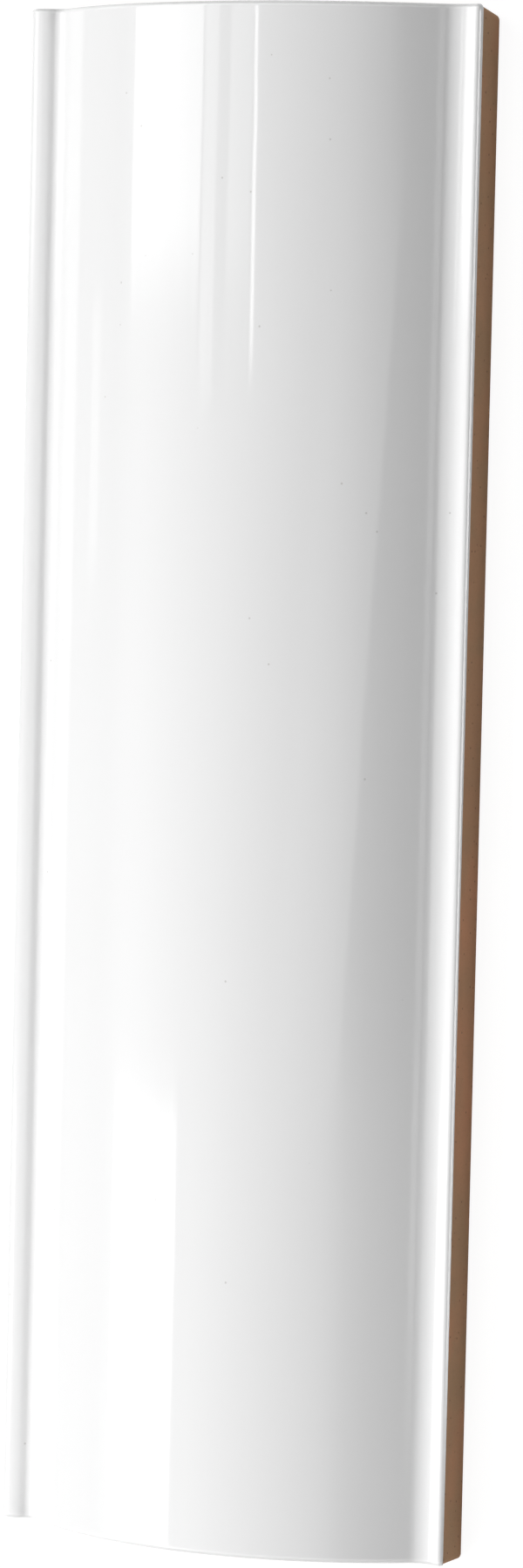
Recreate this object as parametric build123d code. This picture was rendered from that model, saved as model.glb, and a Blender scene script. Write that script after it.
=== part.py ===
from build123d import *
import math
import os

# A convex wall tile, pressed from clay and glazed on its face, as one fired piece.
# It lies on its back: length along Y, width along X, crown up along Z.
# The origin is the middle of the back. All sizes are in millimetres.

# Outline of the tile
tile_length = 200.0
tile_width = 65.0
plan_corner_radius = 1.2

# Cross-section: two flat lips beside a crown that is an arc of a circle
edge_thickness = 6.4
crown_rise = 9.6
lip_width = 4.7
cove_radius = 4.0

# Soft edges: the rim under the glaze, and the worn arris round the back
face_rim_radius = 0.8
back_arris_radius = 0.4

# Keying pockets pressed into the back, where the adhesive grips
pocket_side = 11.2
pocket_corner_radius = 2.4
pocket_depth = 0.6
pocket_draft = 12.0
rib_width = 2.4
plain_border = 5.5

# Sizes that follow from those above
crown_half_chord = tile_width / 2 - lip_width
crown_radius = (crown_half_chord**2 + crown_rise**2) / (2 * crown_rise)
crown_centre_height = edge_thickness + crown_rise - crown_radius
total_height = edge_thickness + crown_rise
pocket_pitch = pocket_side + rib_width
tolerance = 0.001


def cove_points():
    """The right cove's foot on the lip, and the point where it meets the crown."""
    centre_height = edge_thickness + cove_radius
    rise_between_centres = centre_height - crown_centre_height
    centre_x = math.sqrt((crown_radius + cove_radius) ** 2 - rise_between_centres**2)
    share = crown_radius / (crown_radius + cove_radius)
    meeting_x = centre_x * share
    meeting_height = crown_centre_height + rise_between_centres * share
    return (centre_x, edge_thickness), (meeting_x, meeting_height)


def mirrored(point):
    """The same point on the left half of the section."""
    return (-point[0], point[1])


def cross_section():
    """Flat back, upright edges, flat lips, and the crown between two coves."""
    half_width = tile_width / 2
    foot, meeting = cove_points()
    right_lip_end = (half_width, edge_thickness)
    right_heel = (half_width, 0)
    with BuildSketch(Plane.XZ) as section:
        with BuildLine():
            Polyline(foot, right_lip_end, right_heel, mirrored(right_heel), mirrored(right_lip_end), mirrored(foot))
            TangentArc(foot, meeting, tangent=(-1, 0))
            ThreePointArc(meeting, (0, total_height), mirrored(meeting))
            TangentArc(mirrored(foot), mirrored(meeting), tangent=(1, 0))
        make_face()
    return section.sketch


def pressed_blank():
    """The section drawn out along the tile's length, with its plan corners eased."""
    blank = extrude(cross_section(), amount=tile_length / 2, both=True)
    corners = [e for e in blank.edges().filter_by(Axis.Z) if abs(e.center().X) > tile_width / 2 - tolerance]
    return fillet(corners, plan_corner_radius)


def face_rim(blank):
    """The closed run of edges round the glazed face, over the lips, coves and crown."""
    upper = [e for e in blank.edges() if e.bounding_box().min.Z > edge_thickness - tolerance]
    inside = tile_width / 2 - tolerance
    seams = [e for e in ShapeList(upper).filter_by(Axis.Y) if abs(e.center().X) < inside]
    return [e for e in upper if e not in seams]


def back_rim(blank):
    """The closed run of edges round the flat back."""
    return [e for e in blank.edges() if e.bounding_box().max.Z < tolerance]


def even_count(span):
    """How many pockets fit along a span, as an even number so that a rib lies in the middle."""
    fitting = math.floor((span - 2 * plain_border + rib_width) / pocket_pitch)
    return 2 * (fitting // 2)


def keying_pockets():
    """The rows of shallow drafted pockets, seen as the solids that the press die pushes in."""
    columns = even_count(tile_width)
    rows = even_count(tile_length)
    with BuildPart() as pockets:
        with BuildSketch(Plane.XY):
            with GridLocations(pocket_pitch, pocket_pitch, columns, rows):
                RectangleRounded(pocket_side, pocket_side, pocket_corner_radius)
        extrude(amount=pocket_depth, taper=pocket_draft)
    return pockets.part


tile = pressed_blank()
tile = fillet(face_rim(tile), face_rim_radius)
tile = fillet(back_rim(tile), back_arris_radius)
tile = tile - keying_pockets()
tile.label = "convex_tile"

os.makedirs("parts", exist_ok=True)
export_step(tile, "parts/convex_tile.step")

print("crown radius", round(crown_radius, 2), "total height", round(total_height, 2))
print("pockets", even_count(tile_width), "by", even_count(tile_length))
print("volume in cubic millimetres", round(tile.volume, 1))
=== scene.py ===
import logging
import math
from dataclasses import dataclass, field
from enum import Enum
from typing import Callable, List, Optional, Sequence, Tuple, Union

import bmesh
import bpy
from mathutils import Matrix, Vector


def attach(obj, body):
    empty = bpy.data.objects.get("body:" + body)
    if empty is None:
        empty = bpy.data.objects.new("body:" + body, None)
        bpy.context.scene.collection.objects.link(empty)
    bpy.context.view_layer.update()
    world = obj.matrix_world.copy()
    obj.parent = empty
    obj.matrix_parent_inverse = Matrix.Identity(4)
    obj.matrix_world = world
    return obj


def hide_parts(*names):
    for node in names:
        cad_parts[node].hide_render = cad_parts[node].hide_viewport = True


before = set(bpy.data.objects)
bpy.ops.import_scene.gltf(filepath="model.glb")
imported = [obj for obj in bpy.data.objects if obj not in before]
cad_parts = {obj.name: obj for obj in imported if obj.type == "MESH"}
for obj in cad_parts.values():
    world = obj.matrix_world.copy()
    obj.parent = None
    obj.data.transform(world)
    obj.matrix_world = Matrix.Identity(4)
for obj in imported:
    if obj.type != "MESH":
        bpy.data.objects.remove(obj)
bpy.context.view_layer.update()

MM = 0.001
TILE_NODE = "convex_tile"
TILE_BODY = "root"
SEEN_RAYS = ("Is Camera Ray", "Is Glossy Ray", "Is Transmission Ray")
NOISE_AVERAGE = 0.5
RAGGED_GRAIN = 0.25
LEAST_FADE = 0.001
LAMP_POWER = 4.0  # watts for each square metre of lamp, at a radiance of 1

log = logging.getLogger("convex_tile")

Point = Tuple[float, float]
Colour = Tuple[float, float, float, float]
Number = Union[float, "Signal"]


class Direction(Enum):
    """Which way a stretch of the section turns, seen with X to the right and Z up."""

    ANTICLOCKWISE = 1.0
    CLOCKWISE = -1.0


class Coat(Enum):
    """What covers a face of the tile: its material slot on the mesh."""

    GLAZE = 0
    CLAY = 1


class Signal:
    """A number on a shader socket. Arithmetic on it adds Math nodes to its graph."""

    def __init__(self, graph: "Graph", socket: bpy.types.NodeSocket) -> None:
        """Keeps the socket that carries the number.

        Args:
            graph: The graph that the socket belongs to.
            socket: The output socket.
        """
        self.graph = graph
        self.socket = socket

    def __add__(self, other: Number) -> "Signal":
        """Sum of two numbers."""
        return self.graph.math("ADD", self, other)

    def __radd__(self, other: Number) -> "Signal":
        """Sum, with the plain number first."""
        return self.graph.math("ADD", other, self)

    def __sub__(self, other: Number) -> "Signal":
        """Difference of two numbers."""
        return self.graph.math("SUBTRACT", self, other)

    def __rsub__(self, other: Number) -> "Signal":
        """Difference, with the plain number first."""
        return self.graph.math("SUBTRACT", other, self)

    def __mul__(self, other: Number) -> "Signal":
        """Product of two numbers."""
        return self.graph.math("MULTIPLY", self, other)

    def __rmul__(self, other: Number) -> "Signal":
        """Product, with the plain number first."""
        return self.graph.math("MULTIPLY", other, self)

    def fade(self, low: float, high: float) -> "Signal":
        """A smooth step, from 0 where the number is low to 1 where it is high.

        Args:
            low: The number that becomes 0.
            high: The number that becomes 1.

        Returns:
            The stepped number.
        """
        settings = {"interpolation_type": "SMOOTHSTEP"}
        inputs = {"Value": self, "From Min": low, "From Max": high}
        made = self.graph.node("ShaderNodeMapRange", settings, inputs)
        return Signal(self.graph, made.outputs["Result"])

    def within(self, low: Number, high: Number, soft: float) -> "Signal":
        """Where the number lies between two others, with soft borders.

        Args:
            low: The lower border.
            high: The upper border.
            soft: Half the width of each border.

        Returns:
            1 between the borders and 0 outside.
        """
        above = (self - low).fade(-soft, soft)
        below = (high - self).fade(-soft, soft)
        return above * below


class Graph:
    """The node tree of one material, lamp or world, cleared and ready to be built."""

    def __init__(self, tree: bpy.types.NodeTree) -> None:
        """Empties the tree.

        Args:
            tree: The node tree to build in.
        """
        self.tree = tree
        self.tree.nodes.clear()

    def node(
        self, kind: str, settings: Optional[dict] = None, inputs: Optional[dict] = None
    ) -> bpy.types.Node:
        """Adds one node: its settings first, and then its sockets.

        Args:
            kind: The node's type.
            settings: The node's own options; "stops" holds a ramp's places and colours.
            inputs: The value or link of each socket, by the socket's name or number.

        Returns:
            The node.
        """
        made = self.tree.nodes.new(kind)
        for name, value in (settings or {}).items():
            if name == "stops":
                self._set_stops(made.color_ramp, value)
            else:
                setattr(made, name, value)
        for name, value in (inputs or {}).items():
            self._feed(made.inputs[name], value)
        return made

    def _set_stops(self, ramp: bpy.types.ColorRamp, stops: Sequence[Tuple[float, Colour]]) -> None:
        """Gives a colour ramp its stops.

        Args:
            ramp: The ramp.
            stops: Each stop's place and colour, in order.
        """
        while len(ramp.elements) < len(stops):
            ramp.elements.new(1.0)
        for element, (place, colour) in zip(ramp.elements, stops):
            element.position = place
            element.color = colour

    def _feed(self, socket: bpy.types.NodeSocket, value: object) -> None:
        """Links a socket to a signal or another socket, or sets its value.

        Args:
            socket: The input socket.
            value: A signal, an output socket, or a plain value.
        """
        if isinstance(value, Signal):
            self.tree.links.new(value.socket, socket)
        elif isinstance(value, bpy.types.NodeSocket):
            self.tree.links.new(value, socket)
        else:
            socket.default_value = value

    def math(self, operation: str, first: Number, second: Number) -> Signal:
        """One Math node.

        Args:
            operation: The node's operation.
            first: The first number.
            second: The second number.

        Returns:
            The result.
        """
        made = self.node("ShaderNodeMath", {"operation": operation}, {0: first, 1: second})
        return Signal(self, made.outputs[0])

    def mix(self, share: Number, first: object, second: object) -> bpy.types.NodeSocket:
        """A blend of two colours.

        Args:
            share: How much of the second colour there is, from 0 to 1.
            first: The first colour.
            second: The second colour.

        Returns:
            The socket with the blended colour.
        """
        settings = {"data_type": "RGBA", "clamp_factor": True}
        made = self.node("ShaderNodeMix", settings, {0: share, 6: first, 7: second})
        return made.outputs[2]

    def object_place(self) -> bpy.types.NodeSocket:
        """Where a point lies on the piece, in the row frame."""
        return self.node("ShaderNodeTexCoord").outputs["Object"]

    def stretched(
        self, place: bpy.types.NodeSocket, scale: Tuple[float, float, float]
    ) -> bpy.types.NodeSocket:
        """A place with each of its axes scaled.

        Args:
            place: The place.
            scale: The factor along each axis.

        Returns:
            The socket with the scaled place.
        """
        made = self.node("ShaderNodeVectorMath", {"operation": "MULTIPLY"}, {0: place, 1: scale})
        return made.outputs[0]

    def cloud(
        self, place: bpy.types.NodeSocket, size: float, detail: float = 2.0, rough: float = 0.5
    ) -> Signal:
        """Soft noise over the piece, about 0.5 on average.

        Args:
            place: The place that the noise is read at.
            size: The size of its patches, in metres.
            detail: How many finer layers it has.
            rough: How strong those layers are.

        Returns:
            The noise.
        """
        inputs = {"Vector": place, "Scale": 1.0 / size, "Detail": detail, "Roughness": rough}
        return Signal(self, self.node("ShaderNodeTexNoise", None, inputs).outputs["Fac"])

    def grains(self, place: bpy.types.NodeSocket, size: float) -> Signal:
        """How far a point is from the middle of the nearest grain, in grain sizes.

        Args:
            place: The place that the grains are read at.
            size: The distance between grains, in metres.

        Returns:
            The distance.
        """
        made = self.node("ShaderNodeTexVoronoi", None, {"Vector": place, "Scale": 1.0 / size})
        return Signal(self, made.outputs["Distance"])

    def bump(
        self, height: Signal, depth: float, below: Optional[bpy.types.NodeSocket] = None
    ) -> bpy.types.NodeSocket:
        """Fine relief.

        Args:
            height: The relief, from 0 to 1.
            depth: How deep the relief is, in metres.
            below: The normal that it is laid over.

        Returns:
            The socket with the new normal.
        """
        inputs = {"Strength": 1.0, "Distance": depth, "Height": height}
        if below is not None:
            inputs["Normal"] = below
        return self.node("ShaderNodeBump", None, inputs).outputs["Normal"]


@dataclass(frozen=True)
class GlazeFinish:
    """White tin glaze, melted to a glassy skin with a slight orange peel."""

    name: str = "white_glaze"
    white: Colour = (0.905, 0.905, 0.905, 1.0)
    paler_white: Colour = (0.885, 0.885, 0.885, 1.0)
    # Dark grey where the glaze ends on the clay: partly thin glaze over the clay, partly painted
    # shade under the glaze's edge.
    thin_glaze_and_edge_shade: Colour = (0.205, 0.215, 0.215, 1.0)
    patch_size: float = 26 * MM
    roughness: float = 0.035
    roughness_spread: float = 0.02
    fleck: Colour = (0.700, 0.690, 0.680, 1.0)
    fleck_spacing: float = 5.2 * MM
    fleck_size: Tuple[float, float] = (0.020, 0.034)
    fleck_depth: float = 0.01 * MM
    peel_size: float = 1.7 * MM
    peel_depth: float = 0.0007 * MM
    ior: float = 1.5
    edge_attribute: str = "thin_glaze"
    edge_fade: Tuple[float, float] = (0.35, 1.0)

    def material(self) -> bpy.types.Material:
        """Builds the material.

        Returns:
            The glaze as a node-based material.
        """
        made = bpy.data.materials.new(self.name)
        made.use_nodes = True
        graph = Graph(made.node_tree)
        place = graph.object_place()
        patches = graph.cloud(place, self.patch_size)
        body = graph.mix(patches, self.white, self.paler_white)
        edge = graph.node("ShaderNodeAttribute", {"attribute_name": self.edge_attribute})
        thin = Signal(graph, edge.outputs["Fac"]).fade(*self.edge_fade)
        flecks = 1.0 - graph.grains(place, self.fleck_spacing).fade(*self.fleck_size)
        # Darkens the glaze's border to a grey line, which is partly thin glaze and partly painted
        # shade under its edge.
        colour = graph.mix(thin, graph.mix(flecks, body, self.fleck), self.thin_glaze_and_edge_shade)
        roughness = self.roughness + patches * self.roughness_spread
        peel = graph.cloud(place, self.peel_size, detail=1.0)
        shader = graph.node("ShaderNodeBsdfPrincipled", None, {
            "Base Color": colour,
            "Roughness": roughness,
            "IOR": self.ior,
            "Normal": graph.bump(1.0 - flecks, self.fleck_depth, graph.bump(peel, self.peel_depth)),
        })
        graph.node("ShaderNodeOutputMaterial", None, {"Surface": shader.outputs[0]})
        return made


@dataclass(frozen=True)
class ClayFinish:
    """Red-brown fired clay: matt, finely porous, mottled by the kiln."""

    name: str = "fired_clay"
    brown: Colour = (0.500, 0.284, 0.165, 1.0)
    olive_brown: Colour = (0.450, 0.276, 0.161, 1.0)
    red_brown: Colour = (0.590, 0.297, 0.170, 1.0)
    pore: Colour = (0.190, 0.110, 0.070, 1.0)
    patch_size: float = 7 * MM
    patch_fade: Tuple[float, float] = (0.38, 0.62)
    blush_size: float = 12 * MM
    blush_stretch: Tuple[float, float, float] = (1.0, 0.55, 1.0)
    blush_fade: Tuple[float, float] = (0.5, 0.72)
    grain_size: float = 0.35 * MM
    grain_depth: float = 0.03 * MM
    grain_stain: float = 0.5
    pore_spacing: float = 1.3 * MM
    pore_size: Tuple[float, float] = (0.06, 0.16)
    pore_stain: float = 0.7
    pore_depth: float = 0.8
    roughness: float = 0.86
    specular: float = 0.15

    def material(self) -> bpy.types.Material:
        """Builds the material.

        Returns:
            The bare clay as a node-based material.
        """
        made = bpy.data.materials.new(self.name)
        made.use_nodes = True
        graph = Graph(made.node_tree)
        place = graph.object_place()
        patches = graph.cloud(place, self.patch_size, detail=3.0).fade(*self.patch_fade)
        stretched = graph.stretched(place, self.blush_stretch)
        blush = graph.cloud(stretched, self.blush_size, detail=2.0).fade(*self.blush_fade)
        colour = graph.mix(blush, graph.mix(patches, self.brown, self.olive_brown), self.red_brown)
        grain = graph.cloud(place, self.grain_size, detail=3.0, rough=0.65)
        pores = 1.0 - graph.grains(place, self.pore_spacing).fade(*self.pore_size)
        stain = pores * self.pore_stain + (NOISE_AVERAGE - grain) * self.grain_stain
        speckled = graph.mix(stain, colour, self.pore)
        shader = graph.node("ShaderNodeBsdfPrincipled", None, {
            "Base Color": speckled,
            "Roughness": self.roughness,
            "Specular IOR Level": self.specular,
            "Normal": graph.bump(grain - pores * self.pore_depth, self.grain_depth),
        })
        graph.node("ShaderNodeOutputMaterial", None, {"Surface": shader.outputs[0]})
        return made


@dataclass(frozen=True)
class FloorFinish:
    """Pale studio paper that photographs white and keeps the tile's soft shadow."""

    name: str = "studio_paper"
    glow: float = 0.92
    shadow_share: float = 0.16
    paper: Colour = (0.9, 0.9, 0.9, 1.0)

    def material(self) -> bpy.types.Material:
        """Builds the material.

        Returns:
            The paper as a node-based material.
        """
        made = bpy.data.materials.new(self.name)
        made.use_nodes = True
        graph = Graph(made.node_tree)
        path = graph.node("ShaderNodeLightPath")
        rays = [Signal(graph, path.outputs[name]) for name in SEEN_RAYS]
        share = self.shadow_share
        shaded = graph.node("ShaderNodeBsdfDiffuse", None, {"Color": (share, share, share, 1.0)})
        glowing = graph.node("ShaderNodeEmission", None, {"Strength": self.glow})
        both = {0: shaded.outputs[0], 1: glowing.outputs[0]}
        seen = graph.node("ShaderNodeAddShader", None, both)
        paper = graph.node("ShaderNodeBsdfDiffuse", None, {"Color": self.paper})
        mixed = graph.node("ShaderNodeMixShader", None, {
            0: rays[0] + rays[1] + rays[2],
            1: paper.outputs[0],
            2: seen.outputs[0],
        })
        graph.node("ShaderNodeOutputMaterial", None, {"Surface": mixed.outputs[0]})
        return made


class Bench:
    """One mesh object open in edit mode, with parts of it picked by their place."""

    def __init__(self, piece: bpy.types.Object) -> None:
        """Opens the piece in edit mode.

        Args:
            piece: The mesh object.
        """
        self.piece = piece
        bpy.ops.object.select_all(action="DESELECT")
        piece.select_set(True)
        bpy.context.view_layer.objects.active = piece
        bpy.ops.object.mode_set(mode="EDIT")

    def close(self) -> None:
        """Leaves edit mode."""
        bpy.ops.object.mode_set(mode="OBJECT")

    def pick_verts(self, wanted: Callable[[Vector], bool]) -> int:
        """Selects the vertices whose place is wanted, and nothing else.

        Args:
            wanted: Says whether a place is wanted.

        Returns:
            How many were selected.
        """
        bpy.ops.mesh.select_mode(type="VERT")
        bpy.ops.mesh.select_all(action="DESELECT")
        mesh = bmesh.from_edit_mesh(self.piece.data)
        chosen = [v for v in mesh.verts if wanted(v.co)]
        for vert in chosen:
            vert.select_set(True)
        mesh.select_flush_mode()
        bmesh.update_edit_mesh(self.piece.data)
        return len(chosen)

    def pick_edges(self, wanted: Callable[[Vector, Vector], bool]) -> int:
        """Selects the edges whose ends are wanted, and nothing else.

        Args:
            wanted: Says whether an edge between two places is wanted.

        Returns:
            How many were selected.
        """
        bpy.ops.mesh.select_mode(type="EDGE")
        bpy.ops.mesh.select_all(action="DESELECT")
        mesh = bmesh.from_edit_mesh(self.piece.data)
        chosen = [e for e in mesh.edges if wanted(e.verts[0].co, e.verts[1].co)]
        for edge in chosen:
            edge.select_set(True)
        mesh.select_flush_mode()
        bmesh.update_edit_mesh(self.piece.data)
        return len(chosen)

    def pick_faces(self, wanted: Callable[[Vector, Vector], bool]) -> int:
        """Selects the faces whose middle and normal are wanted, and nothing else.

        Args:
            wanted: Says whether a face with this middle and normal is wanted.

        Returns:
            How many were selected.
        """
        bpy.ops.mesh.select_mode(type="FACE")
        bpy.ops.mesh.select_all(action="DESELECT")
        mesh = bmesh.from_edit_mesh(self.piece.data)
        mesh.normal_update()
        chosen = [f for f in mesh.faces if wanted(f.calc_center_median(), f.normal)]
        for face in chosen:
            face.select_set(True)
        mesh.select_flush_mode()
        bmesh.update_edit_mesh(self.piece.data)
        return len(chosen)


def apply_modifier(piece: bpy.types.Object, kind: str, settings: dict) -> None:
    """Adds a modifier to a piece and applies it.

    Args:
        piece: The mesh object.
        kind: The modifier's type.
        settings: The modifier's values by name.
    """
    bpy.ops.object.select_all(action="DESELECT")
    piece.select_set(True)
    bpy.context.view_layer.objects.active = piece
    modifier = piece.modifiers.new(kind.lower(), kind)
    for name, value in settings.items():
        setattr(modifier, name, value)
    bpy.ops.object.modifier_apply(modifier=modifier.name)


@dataclass
class KeyedBack:
    """The shallow drafted pockets pressed into the back, where adhesive grips."""

    columns: int = 4
    rows: int = 14
    side: float = 11.2 * MM
    corner_radius: float = 2.4 * MM
    corner_steps: int = 4
    depth: float = 0.6 * MM
    floor_share: float = 0.977
    rib_width: float = 2.4 * MM
    clearance: float = 1.0 * MM

    def cutter(self) -> bpy.types.Object:
        """Models the solids that are pressed into the back.

        Returns:
            One object with every pocket's solid, set over the back.
        """
        height = self.depth + self.clearance
        pitch = self.side + self.rib_width
        first_x = -(self.columns - 1) / 2 * pitch
        first_y = -(self.rows - 1) / 2 * pitch
        first = (first_x, first_y, self.depth - height / 2)
        size = (self.side, self.side, height)
        bpy.ops.object.select_all(action="DESELECT")
        bpy.ops.mesh.primitive_cube_add(size=1.0, location=first, scale=size)
        piece = bpy.context.active_object
        piece.name = "pocket_cutter"
        bpy.ops.object.transform_apply(location=True, rotation=True, scale=True)
        bench = Bench(piece)
        bench.pick_edges(lambda a, b: abs(a.z - b.z) > height / 2)
        bpy.ops.mesh.bevel(
            offset_type="OFFSET",
            offset=self.corner_radius,
            segments=self.corner_steps,
            affect="EDGES",
        )
        bench.pick_faces(lambda middle, normal: normal.z > 0.9)
        share = self.floor_share
        middle = (first_x, first_y, self.depth)
        bpy.ops.transform.resize(value=(share, share, 1.0), center_override=middle)
        bench.close()
        for count, offset in ((self.columns, (pitch, 0.0, 0.0)), (self.rows, (0.0, pitch, 0.0))):
            apply_modifier(piece, "ARRAY", {
                "count": count,
                "use_relative_offset": False,
                "use_constant_offset": True,
                "constant_offset_displace": offset,
            })
        return piece


def touching_centre(first: Point, first_reach: float, second: Point, second_reach: float) -> Point:
    """The upper point that lies at one reach from a first point and at another from a second.

    Args:
        first: The first point.
        first_reach: How far the wanted point is from it.
        second: The second point, to the right of the first.
        second_reach: How far the wanted point is from it.

    Returns:
        The wanted point.
    """
    across = second[0] - first[0]
    up = second[1] - first[1]
    apart = math.hypot(across, up)
    along = (first_reach ** 2 - second_reach ** 2 + apart ** 2) / (2 * apart)
    aside = math.sqrt(first_reach ** 2 - along ** 2)
    x = first[0] + (along * across - aside * up) / apart
    z = first[1] + (along * up + aside * across) / apart
    return (x, z)


@dataclass(frozen=True)
class Lip:
    """The lip along one side: a small rim, a soft bead and the cove up to the crown."""

    height: float
    rim_radius: float
    bead_radius: float
    cove_radius: float
    rim_lean: float


@dataclass(frozen=True)
class LipArcs:
    """Where a lip's three arcs turn, with X measured outwards, and their lean where they touch."""

    rim: Point
    bead: Point
    cove: Point
    bead_lean: float
    crown_lean: float


@dataclass(frozen=True)
class Turn:
    """One arc of the section: a line along Y that a long edge is spun about, and how far."""

    centre: Point
    angle: float
    way: Direction
    steps: int


@dataclass
class Section:
    """The tile's cross-section, all of arcs that touch; the mould sat a little to the right."""

    half_width: float = 32.5 * MM
    left: Lip = Lip(7.2 * MM, 1.8 * MM, 2.8 * MM, 1.3 * MM, math.radians(7.0))
    right: Lip = Lip(6.3 * MM, 0.7 * MM, 3.0 * MM, 3.8 * MM, math.radians(-10.0))
    crown_shift: float = 0.4 * MM
    crown_height: float = 15.97 * MM
    crown_radius: float = 45.05 * MM
    rim_steps: int = 10
    bead_steps: int = 10
    cove_steps: int = 14
    crown_steps: int = 96

    def crown_centre(self) -> Point:
        """The middle of the crown's circle."""
        return (self.crown_shift, self.crown_height - self.crown_radius)

    def arcs(self, lip: Lip, crown_x: float) -> LipArcs:
        """Works out the arcs of one lip, so that each touches the next.

        Args:
            lip: The lip.
            crown_x: The crown's centre, measured outwards to this side.

        Returns:
            The lip's arcs.
        """
        rise = lip.bead_radius - lip.rim_radius
        rim_x = self.half_width - lip.rim_radius
        bead = (rim_x - rise * math.sin(lip.rim_lean), lip.height - lip.bead_radius)
        rim = (rim_x, bead[1] + rise * math.cos(lip.rim_lean))
        crown = (crown_x, self.crown_centre()[1])
        crown_reach = self.crown_radius + lip.cove_radius
        bead_reach = lip.bead_radius + lip.cove_radius
        cove = touching_centre(crown, crown_reach, bead, bead_reach)
        bead_lean = math.atan2(bead[0] - cove[0], cove[1] - bead[1])
        crown_lean = math.atan2(cove[0] - crown[0], cove[1] - crown[1])
        return LipArcs(rim, bead, cove, bead_lean, crown_lean)

    def _lip_turns(self, lip: Lip, arcs: LipArcs, side: float) -> List[Turn]:
        """The turns that draw a lip, from its rim in to the crown.

        Args:
            lip: The lip.
            arcs: Its arcs.
            side: 1 for the right lip and -1 for the left one.

        Returns:
            The three turns.
        """
        places = (arcs.rim, arcs.bead, arcs.cove)
        rim, bead, cove = ((side * place[0], place[1]) for place in places)
        rim_angle = math.pi / 2 - lip.rim_lean
        bead_angle = lip.rim_lean + arcs.bead_lean
        cove_angle = arcs.bead_lean + arcs.crown_lean
        return [
            Turn(rim, rim_angle, Direction.ANTICLOCKWISE, self.rim_steps),
            Turn(bead, bead_angle, Direction.ANTICLOCKWISE, self.bead_steps),
            Turn(cove, cove_angle, Direction.CLOCKWISE, self.cove_steps),
        ]

    def turns(self) -> List[Turn]:
        """The turns that draw the face, from the right rim over the crown to the left rim.

        Returns:
            The turns in order.
        """
        right = self.arcs(self.right, self.crown_shift)
        left = self.arcs(self.left, -self.crown_shift)
        crown_angle = right.crown_lean + left.crown_lean
        crown = Turn(self.crown_centre(), crown_angle, Direction.ANTICLOCKWISE, self.crown_steps)
        return [
            *self._lip_turns(self.right, right, 1.0),
            crown,
            *reversed(self._lip_turns(self.left, left, -1.0)),
        ]


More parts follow.
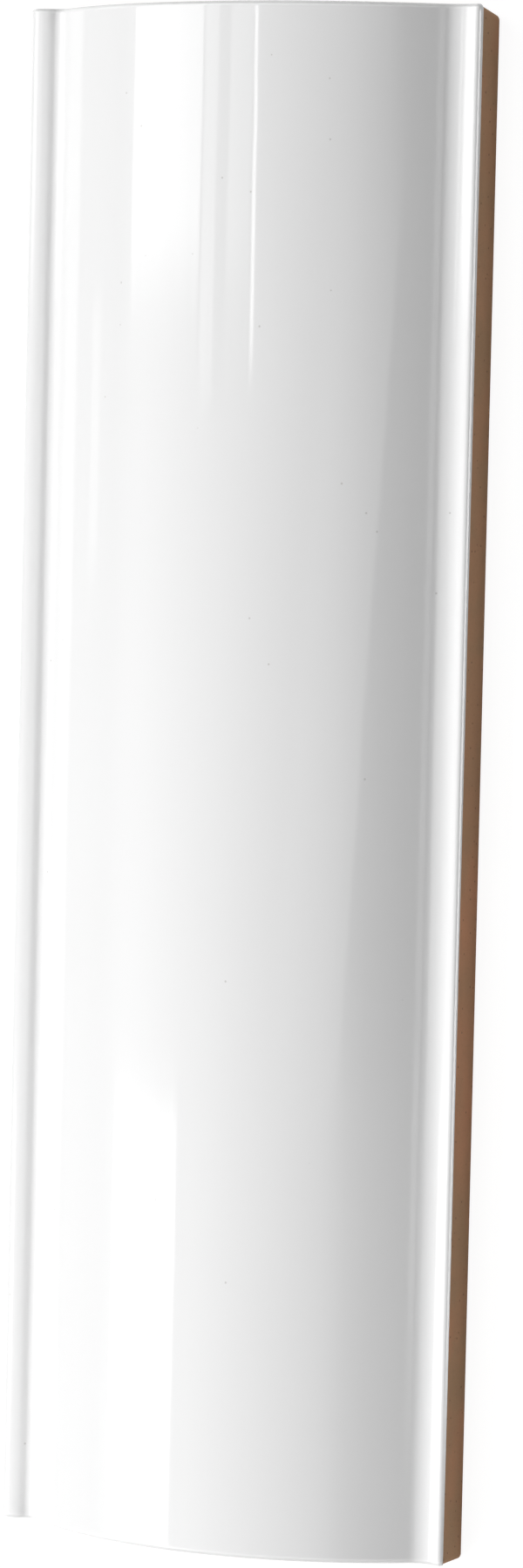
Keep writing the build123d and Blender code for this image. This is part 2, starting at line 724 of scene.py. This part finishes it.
@dataclass
class ConvexTile:
    """The fired tile: a pressed clay body under a glaze that stops short of its edges."""

    section: Section = field(default_factory=Section)
    back: KeyedBack = field(default_factory=KeyedBack)
    glaze: GlazeFinish = field(default_factory=GlazeFinish)
    clay: ClayFinish = field(default_factory=ClayFinish)
    half_length: float = 100.0 * MM
    end_rim_radius: float = 0.68 * MM
    end_rim_steps: int = 8
    glaze_line: float = 5.7 * MM
    glaze_line_tilt: float = 0.002
    glaze_floor: float = 4.0 * MM
    far_end_lean: float = 1.0 * MM
    end_wall_facing: float = 0.9
    end_wall_tilt: float = math.radians(4.0)
    back_arris: float = 0.4 * MM
    back_arris_steps: int = 3
    glaze_step: float = 0.12 * MM
    glaze_lip: float = 0.06 * MM
    rows: Tuple[int, int] = (16, 10)
    wave_depth: float = 0.03 * MM
    wave_size: float = 22 * MM
    smooth_angle: float = math.radians(40.0)
    speck: float = 0.001 * MM

    def build(self) -> bpy.types.Object:
        """Models the whole tile and dresses it.

        Returns:
            The finished tile.
        """
        piece = self._draw_section()
        bench = Bench(piece)
        self._close_ends(bench)
        self._round_end_rims(bench)
        self._mark_glaze_line(bench)
        self._lean_far_end(bench)
        self._ease_back(bench)
        self._set_clay_back(bench)
        bench.close()
        self._press_pockets(piece)
        self._divide_into_rows(piece)
        self._dress(piece)
        self._wave_glaze(piece)
        self._shade(piece)
        return piece

    def _draw_section(self) -> bpy.types.Object:
        """Draws the back as a strip, and carries its right edge up and over the face.

        Returns:
            The tile as an open tube along Y.
        """
        half_width = self.section.half_width
        bpy.ops.object.select_all(action="DESELECT")
        bpy.ops.mesh.primitive_plane_add(size=2.0, location=(0.0, 0.0, 0.0))
        piece = bpy.context.active_object
        piece.name = "glazed_tile"
        bench = Bench(piece)
        half_size = (half_width, self.half_length, 1.0)
        bpy.ops.transform.resize(value=half_size, center_override=(0.0, 0.0, 0.0))
        bench.pick_edges(lambda a, b: min(a.x, b.x) > half_width - self.speck)
        turns = self.section.turns()
        self._raise_edge(turns[0].centre[1])
        for turn in turns:
            self._sweep_edge(turn)
        self._raise_edge(-turns[-1].centre[1])
        bpy.ops.mesh.select_all(action="SELECT")
        bpy.ops.mesh.remove_doubles(threshold=self.speck)
        bpy.ops.mesh.normals_make_consistent(inside=False)
        bench.close()
        return piece

    def _raise_edge(self, height: float) -> None:
        """Extrudes the selected long edge straight up, or down where the height is negative."""
        bpy.ops.mesh.extrude_region_move(TRANSFORM_OT_translate={"value": (0.0, 0.0, height)})

    def _sweep_edge(self, turn: Turn) -> None:
        """Spins the selected long edge about a line along Y.

        Args:
            turn: The line, and how far and in how many steps the edge turns.
        """
        bpy.ops.mesh.spin(
            steps=turn.steps,
            angle=turn.angle,
            center=(turn.centre[0], 0.0, turn.centre[1]),
            axis=(0.0, turn.way.value, 0.0),
        )

    def _close_ends(self, bench: Bench) -> None:
        """Fills both open ends with a flat wall.

        Args:
            bench: The tile in edit mode.
        """
        for side in (-1.0, 1.0):
            place = side * self.half_length
            bench.pick_edges(lambda a, b: max(abs(a.y - place), abs(b.y - place)) < self.speck)
            bpy.ops.mesh.edge_face_add()
        bpy.ops.mesh.select_all(action="SELECT")
        bpy.ops.mesh.normals_make_consistent(inside=False)

    def _is_end_rim(self, a: Vector, b: Vector) -> bool:
        """Whether an edge runs round an end, other than along the back.

        Args:
            a: The place of the edge's first end.
            b: The place of its second end.

        Returns:
            True on an end's rim.
        """
        at_end = abs(abs(a.y) - self.half_length) < self.speck and abs(a.y - b.y) < self.speck
        on_back = a.z < self.speck and b.z < self.speck
        return at_end and not on_back

    def _round_end_rims(self, bench: Bench) -> None:
        """Rounds each end's rim over lips, coves and crown, and its upright corners.

        Args:
            bench: The tile in edit mode.
        """
        bench.pick_edges(self._is_end_rim)
        bpy.ops.mesh.bevel(
            offset_type="OFFSET",
            offset=self.end_rim_radius,
            segments=self.end_rim_steps,
            profile=0.5,
            affect="EDGES",
            clamp_overlap=False,
        )
        bpy.ops.mesh.select_all(action="SELECT")
        bpy.ops.mesh.remove_doubles(threshold=self.speck)

    def _line_height(self, y: float) -> float:
        """How high the glaze line is at a place along the tile.

        Args:
            y: The place along the tile.

        Returns:
            The glaze line's height.
        """
        return self.glaze_line - self.glaze_line_tilt * y

    def _mark_glaze_line(self, bench: Bench) -> None:
        """Cuts the line where the glaze ends into the walls.

        Args:
            bench: The tile in edit mode; not used.
        """
        bpy.ops.mesh.select_mode(type="FACE")
        bpy.ops.mesh.select_all(action="SELECT")
        bpy.ops.mesh.bisect(
            plane_co=(0.0, 0.0, self.glaze_line),
            plane_no=(0.0, self.glaze_line_tilt, 1.0),
            use_fill=False,
            threshold=self.speck,
        )

    def _lean_far_end(self, bench: Bench) -> None:
        """Pulls the far end's foot in, because that end was cut a little out of square.

        Args:
            bench: The tile in edit mode.
        """
        start = self.half_length - self.end_rim_radius - self.speck
        bench.pick_verts(lambda place: place.z < self.speck and place.y > start)
        bpy.ops.transform.translate(value=(0.0, -self.far_end_lean, 0.0))

    def _ease_back(self, bench: Bench) -> None:
        """Rounds the arris all round the back.

        Args:
            bench: The tile in edit mode.
        """
        bench.pick_edges(lambda a, b: a.z < self.speck and b.z < self.speck)
        bpy.ops.mesh.bevel(
            offset_type="OFFSET",
            offset=self.back_arris,
            segments=self.back_arris_steps,
            profile=0.5,
            affect="EDGES",
            clamp_overlap=True,
        )

    def _is_clay(self, middle: Vector, normal: Vector) -> bool:
        """Whether a face is bare clay: on the back, low on a side, or on a flat end wall.

        Args:
            middle: The face's middle.
            normal: The face's normal.

        Returns:
            True on bare clay.
        """
        below_line = middle.z < self._line_height(middle.y) - self.speck
        on_side = abs(normal.y) < abs(normal.x)
        near_back = middle.z < self.glaze_floor
        upright = normal.z < math.sin(self.end_wall_tilt)
        on_end_wall = abs(normal.y) > self.end_wall_facing and upright
        return (below_line and (on_side or near_back)) or on_end_wall

    def _set_clay_back(self, bench: Bench) -> None:
        """Sets the bare clay in from the glaze, which ends in a thin step.

        Args:
            bench: The tile in edit mode.
        """
        bench.pick_faces(self._is_clay)
        bpy.ops.mesh.inset(
            thickness=self.glaze_lip,
            depth=0.0,
            use_boundary=True,
            use_even_offset=False,
        )
        half_width = self.section.half_width
        shares = (1 - self.glaze_step / half_width, 1 - self.glaze_step / self.half_length, 1.0)
        bpy.ops.transform.resize(value=shares, center_override=(0.0, 0.0, 0.0))
        bpy.ops.object.mode_set(mode="OBJECT")
        mesh = bench.piece.data
        mesh.materials.append(self.glaze.material())
        mesh.materials.append(self.clay.material())
        for polygon in mesh.polygons:
            if polygon.select:
                polygon.material_index = Coat.CLAY.value
        bpy.ops.object.mode_set(mode="EDIT")

    def _press_pockets(self, piece: bpy.types.Object) -> None:
        """Presses the keying pockets into the back.

        Args:
            piece: The tile.
        """
        cutter = self.back.cutter()
        cutter.data.materials.append(piece.data.materials[Coat.GLAZE.value])
        cutter.data.materials.append(piece.data.materials[Coat.CLAY.value])
        for polygon in cutter.data.polygons:
            polygon.material_index = Coat.CLAY.value
        settings = {"object": cutter, "operation": "DIFFERENCE", "solver": "EXACT"}
        apply_modifier(piece, "BOOLEAN", settings)
        bpy.data.objects.remove(cutter)

    def _divide_into_rows(self, piece: bpy.types.Object) -> None:
        """Divides the long faces into rows, so that the glaze can wave along the tile.

        Args:
            piece: The tile.
        """
        bench = Bench(piece)
        longest = self.half_length
        for count in self.rows:
            bench.pick_edges(
                lambda a, b: abs(a.y - b.y) > 0.5 * longest and max(a.z, b.z) > self.back_arris
            )
            bpy.ops.mesh.subdivide(number_cuts=count - 1)
            longest = longest / count
        bench.close()

    def _dress(self, piece: bpy.types.Object) -> None:
        """Marks where the glaze runs thin at its border, for a grey line there that is partly
        painted shade, and groups the points under the glaze.

        Args:
            piece: The tile.
        """
        mesh = piece.data
        coats: List[set] = [set() for _ in mesh.vertices]
        for polygon in mesh.polygons:
            for index in polygon.vertices:
                coats[index].add(polygon.material_index)
        thin = mesh.attributes.new(self.glaze.edge_attribute, "FLOAT", "POINT")
        borders = [float(Coat.CLAY.value in found) for found in coats]
        thin.data.foreach_set("value", borders)
        group = piece.vertex_groups.new(name="glazed")
        glazed = [index for index, found in enumerate(coats) if Coat.CLAY.value not in found]
        group.add(glazed, 1.0, "REPLACE")

    def _wave_glaze(self, piece: bpy.types.Object) -> None:
        """Lets the glaze wave a little, always inwards from its true size.

        Args:
            piece: The tile.
        """
        texture = bpy.data.textures.new("glaze_wave", "CLOUDS")
        texture.noise_scale = self.wave_size
        texture.noise_depth = 1
        apply_modifier(piece, "DISPLACE", {
            "texture": texture,
            "texture_coords": "LOCAL",
            "direction": "NORMAL",
            "mid_level": 1.0,
            "strength": self.wave_depth,
            "vertex_group": "glazed",
        })

    def _shade(self, piece: bpy.types.Object) -> None:
        """Smooths the shading over every soft edge and keeps the flat faces flat.

        Args:
            piece: The tile.
        """
        bpy.ops.object.select_all(action="DESELECT")
        piece.select_set(True)
        bpy.context.view_layer.objects.active = piece
        bpy.ops.object.shade_smooth_by_angle(angle=self.smooth_angle)
        settings = {"mode": "FACE_AREA", "weight": 50, "keep_sharp": True}
        apply_modifier(piece, "WEIGHTED_NORMAL", settings)


@dataclass(frozen=True)
class Softbox:
    """A soft rectangular lamp, hung lengthwise over the tile. No reflection shows it."""

    name: str
    azimuth: float
    width: float
    start: float
    end: float
    radiance: float
    soft_start: float = 0.0
    soft_end: float = 0.0
    distance: float = 1.0

    def hang(self) -> bpy.types.Object:
        """Hangs the lamp so that it faces the tile.

        Returns:
            The lamp.
        """
        angle = math.radians(self.azimuth)
        away = Vector((math.sin(angle), 0.0, math.cos(angle)))
        along = Vector((0.0, 1.0, 0.0))
        across = along.cross(away)
        length = self.end - self.start
        data = bpy.data.lights.new(self.name, "AREA")
        data.shape = "RECTANGLE"
        data.size = self.width
        data.size_y = length
        data.energy = LAMP_POWER * self.width * length * self.radiance
        if self.soft_start or self.soft_end:
            self._soften(data, length)
        lamp = bpy.data.objects.new(self.name, data)
        turn = Matrix((across, along, away)).transposed().to_4x4()
        place = away * self.distance + along * (self.start + self.end) / 2
        lamp.matrix_world = Matrix.Translation(place) @ turn
        lamp.visible_camera = False
        lamp.visible_glossy = False
        bpy.context.scene.collection.objects.link(lamp)
        return lamp

    def _soften(self, data: bpy.types.Light, length: float) -> None:
        """Fades the lamp out towards its two ends.

        Args:
            data: The lamp's light.
            length: How long the lamp is.
        """
        data.use_nodes = True
        graph = Graph(data.node_tree)
        spot = graph.node("ShaderNodeNewGeometry").outputs["Parametric"]
        along = Signal(graph, graph.node("ShaderNodeSeparateXYZ", None, {0: spot}).outputs[1])
        start_share = max(self.soft_start / length, LEAST_FADE)
        end_share = max(self.soft_end / length, LEAST_FADE)
        strength = along.fade(-LEAST_FADE, start_share)
        strength = strength * (1.0 - along.fade(1.0 - end_share, 1.0 + LEAST_FADE))
        shader = graph.node("ShaderNodeEmission", None, {"Strength": strength})
        graph.node("ShaderNodeOutputLight", None, {"Surface": shader.outputs[0]})


@dataclass(frozen=True)
class Gleam:
    """A strip of the room that the glaze mirrors brighter or darker than the white around it.

    It lights nothing else. Its place and gain were fitted to the reflections in the photograph.
    """

    azimuths: Tuple[float, float]
    reach: Tuple[float, float]
    gain: float
    soft: float = 0.5
    fade: float = 0.004
    tilt: float = 0.0
    ragged: float = 0.0

    def signal(self, azimuth: Signal, along: Signal) -> Signal:
        """How much the strip adds to the room's white in one direction.

        Args:
            azimuth: The direction's angle from straight up towards the right, in degrees.
            along: How far the direction leans along the tile.

        Returns:
            The added brightness.
        """
        turned = azimuth - along * self.tilt
        strip = turned.within(self.azimuths[0], self.azimuths[1], self.soft)
        if self.ragged:
            graph = azimuth.graph
            inputs = {"W": azimuth * RAGGED_GRAIN}
            waver = graph.node("ShaderNodeTexNoise", {"noise_dimensions": "1D"}, inputs)
            along = along + (Signal(graph, waver.outputs[0]) - NOISE_AVERAGE) * self.ragged
        return strip * along.within(self.reach[0], self.reach[1], self.fade) * self.gain


@dataclass
class Studio:
    """The pale floor, the soft lamps, the room that the glaze mirrors, and the camera."""

    floor: FloorFinish = field(default_factory=FloorFinish)
    floor_gap: float = 0.05 * MM
    floor_half_size: float = 4.0
    ambient: float = 0.19
    lamps: Tuple[Softbox, ...] = (
        Softbox("key_far", -47.2, 0.506, 0.063, 1.15, 2.6, soft_start=0.03),
        Softbox("key_near", -46.0, 0.475, -1.15, -0.153, 3.5, soft_end=0.04),
        Softbox("fill_near", -6.0, 0.3, -0.45, -0.10, 2.1, distance=0.45),
        Softbox("fill_far", -6.0, 0.3, 0.10, 0.45, 0.88, distance=0.45),
    )
    gleams: Tuple[Gleam, ...] = (
        # The dimmer wall on the left, and the brighter ceiling
        Gleam((-125.0, -64.0), (-1.1, 1.1), -0.55, soft=5.0),
        Gleam((-60.0, 24.0), (-1.1, 1.1), 0.95, soft=10.0),
        # The bright panels, far and near, and the bars and strips beside the far one
        Gleam((-61.6, -33.0), (0.026, 0.45), 3.4, soft=0.3, fade=0.012, ragged=0.03),
        Gleam((-60.8, -34.2), (-0.45, -0.118), 5.0, fade=0.010, ragged=0.02),
        Gleam((-33.0, -32.0), (0.012, 0.5), -0.6, soft=0.2),
        Gleam((-32.0, -27.2), (0.008, 0.3), 1.4, soft=0.3, fade=0.010, ragged=0.03),
        Gleam((-26.9, -22.9), (0.006, 0.3), -0.6, fade=0.008, ragged=0.03),
        Gleam((-22.6, -14.6), (0.024, 0.3), 1.3, fade=0.012, ragged=0.03),
        Gleam((-13.3, -12.1), (0.013, 0.3), 7.0, soft=0.2, tilt=-12.0),
        # The broad soft changes over the crown and its right flank
        Gleam((10.0, 33.0), (-0.100, 0.030), 0.5, soft=0.8, fade=0.03, tilt=95.0),
        Gleam((-30.0, 24.0), (-0.5, -0.100), 0.3, soft=0.8, fade=0.02),
        Gleam((33.0, 68.0), (-0.115, 0.045), -1.0, soft=0.8, fade=0.03, tilt=95.0),
        Gleam((34.0, 68.0), (0.045, 0.5), -1.0, soft=3.0, fade=0.03),
        # The left lip, the right rim, and the rims of the two ends
        Gleam((-80.6, -76.0), (-0.025, 0.021), 0.8, soft=0.4),
        Gleam((50.0, 92.0), (-0.17, 0.15), 11.0, soft=3.0, fade=0.02),
        Gleam((-100.0, 70.0), (0.28, 0.70), 2.5, soft=10.0, fade=0.08),
        Gleam((-100.0, 70.0), (-0.70, -0.33), 3.0, soft=10.0, fade=0.08),
    )
    camera_place: Tuple[float, float, float] = (0.3384, 0.0459, 0.6802)
    camera_forward: Tuple[float, float, float] = (-0.44366, -0.06140, -0.89411)
    camera_up: Tuple[float, float, float] = (-0.04776, 0.99785, -0.04482)
    lens: float = 133.4
    sensor: float = 36.0

    def set_up(self) -> None:
        """Lays the floor, hangs the lamps and places the camera."""
        self._lay_floor()
        self._fill_room()
        for lamp in self.lamps:
            lamp.hang()
        self._place_camera()
        bpy.context.scene.view_settings.view_transform = "Standard"

    def _lay_floor(self) -> None:
        """Lays the floor that the tile rests on."""
        bpy.ops.object.select_all(action="DESELECT")
        place = (0.0, 0.0, -self.floor_gap)
        bpy.ops.mesh.primitive_plane_add(size=2 * self.floor_half_size, location=place)
        floor = bpy.context.active_object
        floor.name = "studio_floor"
        floor.data.materials.append(self.floor.material())

    def _fill_room(self) -> None:
        """Gives the room its soft light, a white backdrop, and the gleams in what is mirrored."""
        world = bpy.data.worlds.new("studio_room")
        world.use_nodes = True
        graph = Graph(world.node_tree)
        direction = graph.node("ShaderNodeTexCoord").outputs["Generated"]
        way = graph.node("ShaderNodeSeparateXYZ", None, {0: direction})
        across, along, up = (Signal(graph, way.outputs[index]) for index in range(3))
        azimuth = graph.math("ARCTAN2", across, up) * math.degrees(1.0)
        room: Number = 0.0
        for gleam in self.gleams:
            room = gleam.signal(azimuth, along) + room
        path = graph.node("ShaderNodeLightPath")
        seen, mirrored, clear = (Signal(graph, path.outputs[name]) for name in SEEN_RAYS)
        diffuse = graph.node("ShaderNodeBackground", None, {"Strength": self.ambient})
        white = graph.node("ShaderNodeBackground", None, {"Strength": 1.0 + mirrored * room})
        mixed = graph.node("ShaderNodeMixShader", None, {
            0: seen + mirrored + clear,
            1: diffuse.outputs[0],
            2: white.outputs[0],
        })
        graph.node("ShaderNodeOutputWorld", None, {"Surface": mixed.outputs[0]})
        bpy.context.scene.world = world

    def _place_camera(self) -> None:
        """Places the camera where the photograph was taken from."""
        data = bpy.data.cameras.new("camera")
        data.lens = self.lens
        data.sensor_width = self.sensor
        data.clip_start = 0.01
        camera = bpy.data.objects.new("camera", data)
        back = -Vector(self.camera_forward).normalized()
        side = Vector(self.camera_up).cross(back).normalized()
        up = back.cross(side)
        turn = Matrix((side, up, back)).transposed().to_4x4()
        camera.matrix_world = Matrix.Translation(Vector(self.camera_place)) @ turn
        bpy.context.scene.collection.objects.link(camera)
        bpy.context.scene.camera = camera


def report(piece: bpy.types.Object) -> None:
    """Logs a piece's size and how many triangles it has.

    Args:
        piece: The finished piece.
    """
    triangles = sum(len(polygon.vertices) - 2 for polygon in piece.data.polygons)
    sizes = ", ".join(f"{value / MM:.2f}" for value in piece.dimensions)
    log.info("%s: %s mm, %d triangles", piece.name, sizes, triangles)


def main() -> None:
    """Builds the tile, sets it in the studio and reports on it."""
    logging.basicConfig(level=logging.INFO, format="%(name)s %(message)s")
    tile = ConvexTile().build()
    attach(tile, TILE_BODY)
    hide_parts(TILE_NODE)
    report(tile)
    Studio().set_up()


if __name__ == "__main__":
    main()
